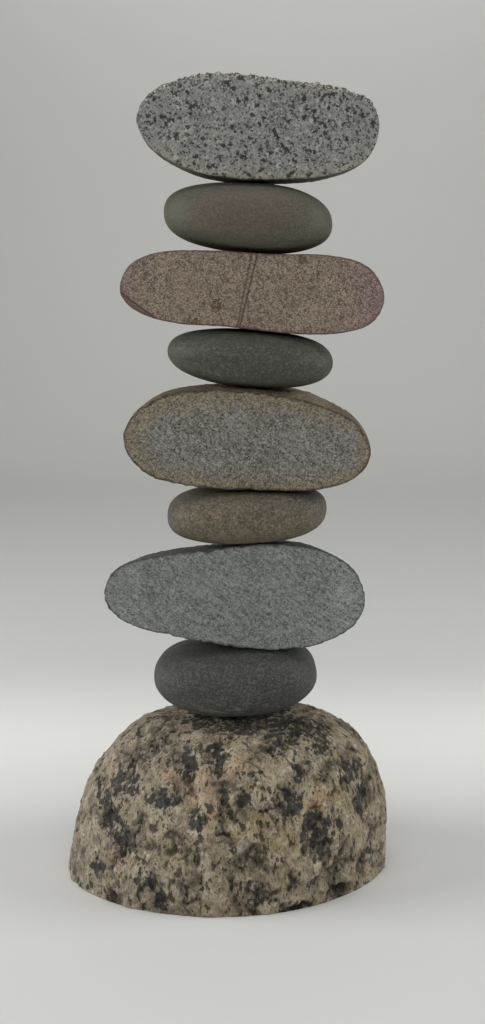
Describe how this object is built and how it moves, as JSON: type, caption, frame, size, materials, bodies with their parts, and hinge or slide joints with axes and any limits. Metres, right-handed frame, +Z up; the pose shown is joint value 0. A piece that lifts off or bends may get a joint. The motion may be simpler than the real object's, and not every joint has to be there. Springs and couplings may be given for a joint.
{
  "type": "stone cairn",
  "caption": "Tower of stones on a sawn half boulder: whole river pebbles alternate with thick flat-faced slices of rock, each resting on the one below",
  "frame": {"origin": "Middle of the flat sawn foot of the base boulder, which is the bottom centre of the bounding box", "axes": "+Z up the tower, +X along the sawn faces to the right, +Y away from the front sawn faces to the back"},
  "size_m": [0.1668, 0.1288, 0.3981],
  "materials": {
    "base_boulder": "rough weathered coarse granite, beige and pink with black-green mica patches",
    "dark_pebble": "water-worn, dull",
    "blue_grey_slice": "sawn matt faces, dark natural rim",
    "brown_pebble": "water-worn, dull",
    "rinded_slice": "sawn matt faces, brown weathered rind",
    "green_pebble": "water-worn, dull",
    "red_slice": "sawn matt faces, fine sandstone grain",
    "olive_pebble": "water-worn, smooth",
    "speckled_slice": "sawn matt faces with dark flecks, rough crystalline rim"
  },
  "bodies": {
    "root": {"base_boulder": "base_boulder", "dark_pebble": "dark_pebble", "blue_grey_slice": "blue_grey_slice", "brown_pebble": "brown_pebble", "rinded_slice": "rinded_slice", "green_pebble": "green_pebble", "red_slice": "red_slice", "olive_pebble": "olive_pebble", "speckled_slice": "speckled_slice"}
  },
  "joints": []
}
